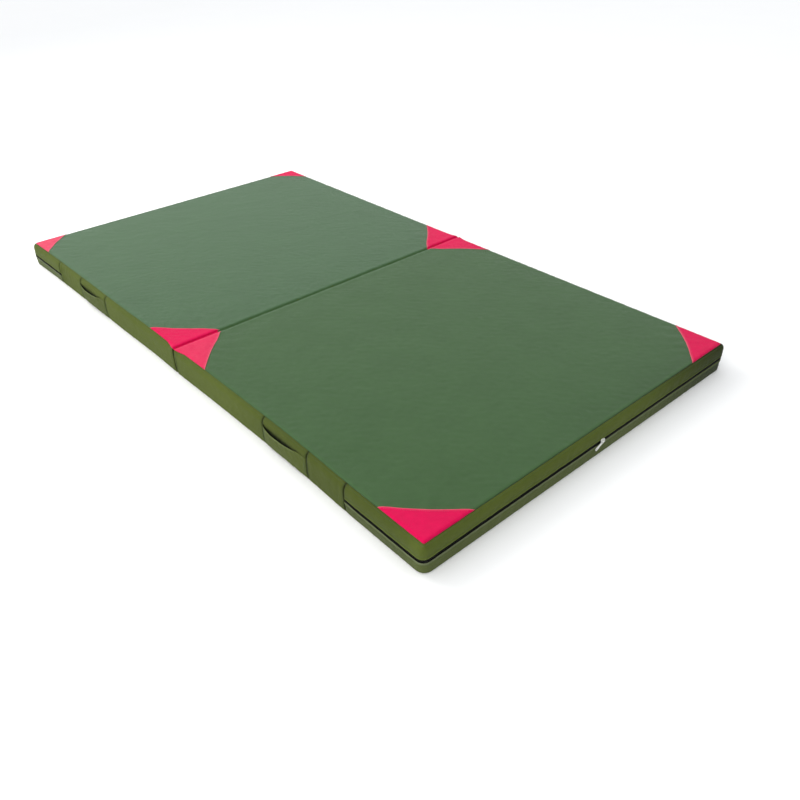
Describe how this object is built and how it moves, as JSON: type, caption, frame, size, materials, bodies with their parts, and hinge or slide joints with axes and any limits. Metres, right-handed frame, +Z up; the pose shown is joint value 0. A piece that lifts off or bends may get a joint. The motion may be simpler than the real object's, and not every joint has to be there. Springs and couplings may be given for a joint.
{
  "type": "folding gym mat",
  "caption": "Rectangular foam gym mat in canvas-covered panels that fold face to face, with sewn side handles, zipped covers and contrasting corner patches.",
  "frame": {"origin": "on the floor at the middle of the mat, straight under the middle of the fold line, with the mat lying open and flat", "axes": "+X along the mat's length, from the left panel towards the right panel; +Y across the width, from the front side to the back; +Z up"},
  "size_m": [2.014, 1.1214, 0.0806],
  "materials": {
    "canvas_top": "matte",
    "canvas_wall": "matte",
    "canvas_strip": "matte",
    "canvas_patch": "matte",
    "canvas_handle": "matte",
    "zip_tape": "matte",
    "zip_teeth": "satin",
    "zip_metal": "satin",
    "foam_firm": "matte",
    "foam_core": "matte"
  },
  "bodies": {
    "left_panel": {"left_top_sheet": "canvas_top", "left_bottom_sheet": "canvas_strip", "left_fold_wall": "canvas_wall", "left_front_wall_inner": "canvas_wall", "left_front_handle_wall": "canvas_wall", "left_front_wall_outer": "canvas_wall", "left_back_wall_inner": "canvas_wall", "left_back_handle_wall": "canvas_wall", "left_back_wall_outer": "canvas_wall", "left_zip_wall_upper": "canvas_wall", "left_zip_wall_lower": "canvas_strip", "left_patch_outer_front": "canvas_patch", "left_patch_outer_back": "canvas_patch", "left_patch_fold_front": "canvas_patch", "left_patch_fold_back": "canvas_patch", "left_hinge_strip": "canvas_top", "left_front_handle_tabs": "canvas_handle", "left_back_handle_tabs": "canvas_handle", "left_zip_tape_upper": "zip_tape", "left_zip_tape_lower": "zip_tape", "left_zip_teeth_upper": "zip_teeth", "left_zip_teeth_lower": "zip_teeth", "left_foam_top": "foam_firm", "left_foam_core": "foam_core", "left_foam_base": "foam_firm"},
    "right_panel": {"right_top_sheet": "canvas_top", "right_bottom_sheet": "canvas_strip", "right_fold_wall": "canvas_wall", "right_front_wall_inner": "canvas_wall", "right_front_handle_wall": "canvas_wall", "right_front_wall_outer": "canvas_wall", "right_back_wall_inner": "canvas_wall", "right_back_handle_wall": "canvas_wall", "right_back_wall_outer": "canvas_wall", "right_zip_wall_upper": "canvas_wall", "right_zip_wall_lower": "canvas_strip", "right_patch_outer_front": "canvas_patch", "right_patch_outer_back": "canvas_patch", "right_patch_fold_front": "canvas_patch", "right_patch_fold_back": "canvas_patch", "right_hinge_strip": "canvas_top", "right_front_handle_tabs": "canvas_handle", "right_back_handle_tabs": "canvas_handle", "right_zip_tape_upper": "zip_tape", "right_zip_tape_lower": "zip_tape", "right_zip_teeth_upper": "zip_teeth", "right_zip_teeth_lower": "zip_teeth", "right_foam_top": "foam_firm", "right_foam_core": "foam_core", "right_foam_base": "foam_firm"},
    "left_front_handle": {"left_front_handle": "canvas_handle"},
    "left_back_handle": {"left_back_handle": "canvas_handle"},
    "left_zip_slider": {"left_zip_slider": "zip_metal"},
    "left_zip_pull": {"left_zip_pull": "zip_metal"},
    "right_front_handle": {"right_front_handle": "canvas_handle"},
    "right_back_handle": {"right_back_handle": "canvas_handle"},
    "right_zip_slider": {"right_zip_slider": "zip_metal"},
    "right_zip_pull": {"right_zip_pull": "zip_metal"}
  },
  "joints": [
    {"name": "fold", "type": "hinge", "parent": "left_panel", "child": "right_panel", "pos_m": [0, 0, 0.081], "axis": [0, -1, 0], "range_deg": [0, 180]},
    {"name": "left_front_handle_pull", "type": "slide", "parent": "left_panel", "child": "left_front_handle", "axis": [0, -1, 0], "range_m": [0, 0.02]},
    {"name": "left_back_handle_pull", "type": "slide", "parent": "left_panel", "child": "left_back_handle", "axis": [0, 1, 0], "range_m": [0, 0.02]},
    {"name": "left_zip_travel", "type": "slide", "parent": "left_panel", "child": "left_zip_slider", "axis": [0, -1, 0], "range_m": [-0.53, 0.505]},
    {"name": "left_pull_flip", "type": "hinge", "parent": "left_zip_slider", "child": "left_zip_pull", "pos_m": [-1.0039, -0.014, 0.0368], "axis": [0, 0.5, 0.866], "range_deg": [0, 180]},
    {"name": "right_front_handle_pull", "type": "slide", "parent": "right_panel", "child": "right_front_handle", "axis": [0, -1, 0], "range_m": [0, 0.02]},
    {"name": "right_back_handle_pull", "type": "slide", "parent": "right_panel", "child": "right_back_handle", "axis": [0, 1, 0], "range_m": [0, 0.02]},
    {"name": "right_zip_travel", "type": "slide", "parent": "right_panel", "child": "right_zip_slider", "axis": [0, 1, 0], "range_m": [-0.53, 0.505]},
    {"name": "right_pull_flip", "type": "hinge", "parent": "right_zip_slider", "child": "right_zip_pull", "pos_m": [1.0039, 0.014, 0.0368], "axis": [0, -0.5, 0.866], "range_deg": [0, 180]}
  ]
}
